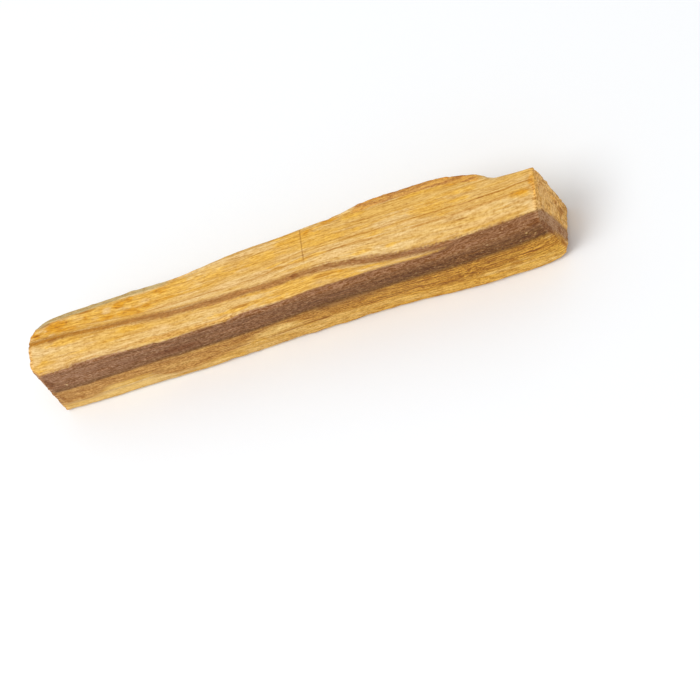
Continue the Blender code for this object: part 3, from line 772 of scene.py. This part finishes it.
heart = mixed(times(heart_rim, plus(0.6, times(towards_right, 0.2))), heart, colour(112, 73, 22))
# painted light: the heartwood just under the front arris is lighter towards the right, as an edge catching
# the light
by_arris = times(times(between(z_mm, 12.8, 14.8), front_face), times(towards_right, 0.6))
heart = mixed(by_arris, heart, colour(158, 112, 70))
heart = mixed(times(top_face, 0.5), heart, colour(150, 106, 73))
# painted light: the heartwood on the ends is drawn lighter, standing in for light falling on them
heart = mixed(times(end_face, 0.75), heart, colour(187, 142, 99))
heart = mixed(times(between(layer, 0.5, 0.66), times(end_face, 0.35)), heart, colour(136, 94, 56))
body = mixed(in_heart, body, heart)
light_crumbs = times(between(plus(grit, swing(crumb, 0.3)), 0.62, 0.85), times(in_heart, 0.6))
body = mixed(light_crumbs, body, colour(196, 156, 104))

# brown stain, the rough bark strip and the painted grey reflection on the bevel
stained = between(plus(kept("brown"), swing(streak, 0.3)), 0.25, 0.8)
body = mixed(times(stained, 0.8), body, tinted(body, 0.55, 0.36, 0.14))
bark_lumps = between(plus(patchy, swing(grit, 0.2)), 0.35, 0.65)
bark_colour = mixed(bark_lumps, colour(172, 108, 44), colour(220, 162, 70))
body = mixed(times(between(plus(kept("bark"), swing(patchy, 0.5)), 0.3, 0.7), 0.85), body, bark_colour)
# painted reflection: a grey strip along the back of the top on the left, the bevel seen edge-on
painted_bevel_reflection = plus(kept("grey"), plus(swing(streak, 0.4), swing(patchy, 0.4)))
body = mixed(times(between(painted_bevel_reflection, 0.3, 0.9), 0.8), body, colour(184, 164, 116))

# small crystals of resin in the heartwood, drawn as pale specks: painted glints where they catch the light
SPECK_SIZE = 0.28
SPECKS = (
    (-45.0, 9.5, 0.6), (46.4, 13.2, 1.0), (47.6, 12.0, 0.5), (44.6, 11.4, 0.4), (35.9, 10.5, 0.5),
    (25.2, 12.0, 0.4), (-0.8, 10.3, 0.4), (39.4, 14.1, 0.4),
)
for speck_x, speck_up, shine in SPECKS:
    sockets = {0: x_mm, 1: 1.0, 2: -speck_x}
    aside = add_node("ShaderNodeMath", sockets, operation="MULTIPLY_ADD").outputs[0]
    above = minus(z_mm, speck_up)
    reach = plus(times(aside, aside), times(above, above))
    bright = times(minus(1.0, between(reach, 0.0, SPECK_SIZE ** 2)), times(front_face, shine))
    body = mixed(bright, body, colour(226, 192, 126))

# the hairline cut, drawn as a thin dark line
off_cut = size_of(minus(plus(x_mm, times(y_mm, CUT_LEAN)), CUT_PLACE))
in_cut = times(minus(1.0, between(off_cut, 0.05, 0.2)), top_face)
in_cut = times(in_cut, plus(times(between(y_mm, CUT_FROM - 0.2, CUT_FROM + 0.3), 0.4), 0.15))
in_cut = times(in_cut, between(y_mm, -2.4, -1.8))
body = mixed(in_cut, body, colour(150, 96, 30))

# fibres, grit and pores over it all: dark ones browner, light ones paler
pins = streaks(0.9, 0.17, detail=1.0, shift=131.0)
dashes = streaks(2.2, 0.3, detail=1.0, shift=191.0)
on_right_sapwood = times(times(front_face, towards_right), minus(0.8, times(in_heart, 0.8)))
coarse = mixed(on_right_sapwood, mixed(top_face, crumb, pins), dashes)
mottle = plus(plus(times(fine, 0.35), times(grit, 0.3)), times(coarse, 0.35))
sapwood_gain = plus(6.0, times(front_face, plus(-1.5, times(towards_right, 12.5))))
heart_gain = times(in_heart, plus(7.5, times(front_face, plus(3.0, times(towards_right, 12.0)))))
stripe_gain = times(in_stripe, times(towards_right, 8.0))
amber_gain = times(in_amber, plus(5.5, times(towards_right, 4.0)))
gain = plus(plus(sapwood_gain, heart_gain), plus(plus(amber_gain, stripe_gain), times(end_face, 11.0)))
mottle = times(minus(mottle, 0.5), gain)
body = mixed(held(times(mottle, -1.0)), body, tinted(body, 0.7, 0.56, 0.34))
body = mixed(held(mottle), body, tinted(body, 1.2, 1.29, 1.55))
pores = times(between(streaks(1.3, 0.14, detail=1.0, shift=61.0), 0.62, 0.7), 0.3)
body = mixed(pores, body, tinted(body, 0.6, 0.45, 0.25))
wood.node_tree.links.new(body, shader.inputs["Base Color"])

PORE_DEPTH = 0.1
ROUGHNESS = 0.7
SHINE = 0.2
height = plus(times(streak, 0.5), plus(times(fine, 0.6), times(grit, 0.5)))
bump = add_node("ShaderNodeBump", {"Strength": 0.8, "Distance": PORE_DEPTH * MM, "Height": height})
wood.node_tree.links.new(bump.outputs["Normal"], shader.inputs["Normal"])
wood.node_tree.links.new(minus(ROUGHNESS, times(soaked, 0.15)), shader.inputs["Roughness"])
shader.inputs["Specular IOR Level"].default_value = SHINE

SHARP_FROM = math.radians(50)
stick.data.materials.append(wood)
bpy.ops.object.shade_smooth_by_angle(angle=SHARP_FROM)
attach(stick, "root")
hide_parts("stick")

# The floor: a plain pale sheet of paper, laid just under the stick and wide enough to fill every view. It is
# what the stick is shown on, and no part of it.
FLOOR_SIZE = 6.0
FLOOR_DROP = 0.05
FLOOR_COLOUR = (0.87, 0.885, 0.9, 1.0)
FLOOR_ROUGHNESS = 0.5

bpy.ops.object.select_all(action="DESELECT")
bpy.ops.mesh.primitive_plane_add(size=FLOOR_SIZE, location=(0, 0, -FLOOR_DROP * MM))
floor = bpy.context.object
floor.name = "floor"
paper = bpy.data.materials.new("white_floor")
paper.use_nodes = True
paper.node_tree.nodes["Principled BSDF"].inputs["Base Color"].default_value = FLOOR_COLOUR
paper.node_tree.nodes["Principled BSDF"].inputs["Roughness"].default_value = FLOOR_ROUGHNESS
floor.data.materials.append(paper)

# Soft studio light: a bright white room, and one large round lamp above the stick, to the left and a little
# in front of it, that casts the soft shadow.
ROOM_COLOUR = (1.0, 1.0, 1.0, 1.0)
ROOM_BRIGHTNESS = 0.75
LAMP_PLACE = Vector((-0.25, -0.2, 0.7))
LAMP_WIDTH = 0.5
LAMP_POWER = 3.0

world = bpy.data.worlds.new("white_room")
bpy.context.scene.world = world
world.use_nodes = True
world.node_tree.nodes["Background"].inputs["Color"].default_value = ROOM_COLOUR
world.node_tree.nodes["Background"].inputs["Strength"].default_value = ROOM_BRIGHTNESS
lamp = bpy.data.objects.new("overhead_lamp", bpy.data.lights.new("overhead_lamp", "AREA"))
bpy.context.collection.objects.link(lamp)
lamp.data.shape = "DISK"
lamp.data.size = LAMP_WIDTH
lamp.data.energy = LAMP_POWER
lamp.location = LAMP_PLACE
lamp.rotation_euler = LAMP_PLACE.to_track_quat("Z", "Y").to_euler()

# The camera: the photograph's own view of the stick, from above its front right and turned about its own
# axis, so that the stick climbs to the right.
AZIMUTH = math.radians(38.0)
ELEVATION = math.radians(57.0)
ROLL = math.radians(-49.87)
DISTANCE = 0.6
AIM = Vector((9.4476, -15.8009, 7.5)) * MM
SENSOR = 36.0
LENS = 177.43

back = Vector((
    math.sin(AZIMUTH) * math.cos(ELEVATION),
    -math.cos(AZIMUTH) * math.cos(ELEVATION),
    math.sin(ELEVATION),
))
level_right = Vector((0, 0, 1)).cross(back).normalized()
level_up = back.cross(level_right)
right = math.cos(ROLL) * level_right + math.sin(ROLL) * level_up
up = -math.sin(ROLL) * level_right + math.cos(ROLL) * level_up
camera = bpy.data.objects.new("camera", bpy.data.cameras.new("camera"))
bpy.context.collection.objects.link(camera)
camera.data.sensor_width = SENSOR
camera.data.lens = LENS
turned = Matrix((right, up, back)).transposed().to_4x4()
camera.matrix_world = Matrix.Translation(AIM + DISTANCE * back) @ turned
bpy.context.scene.camera = camera
bpy.context.scene.view_settings.view_transform = "Standard"
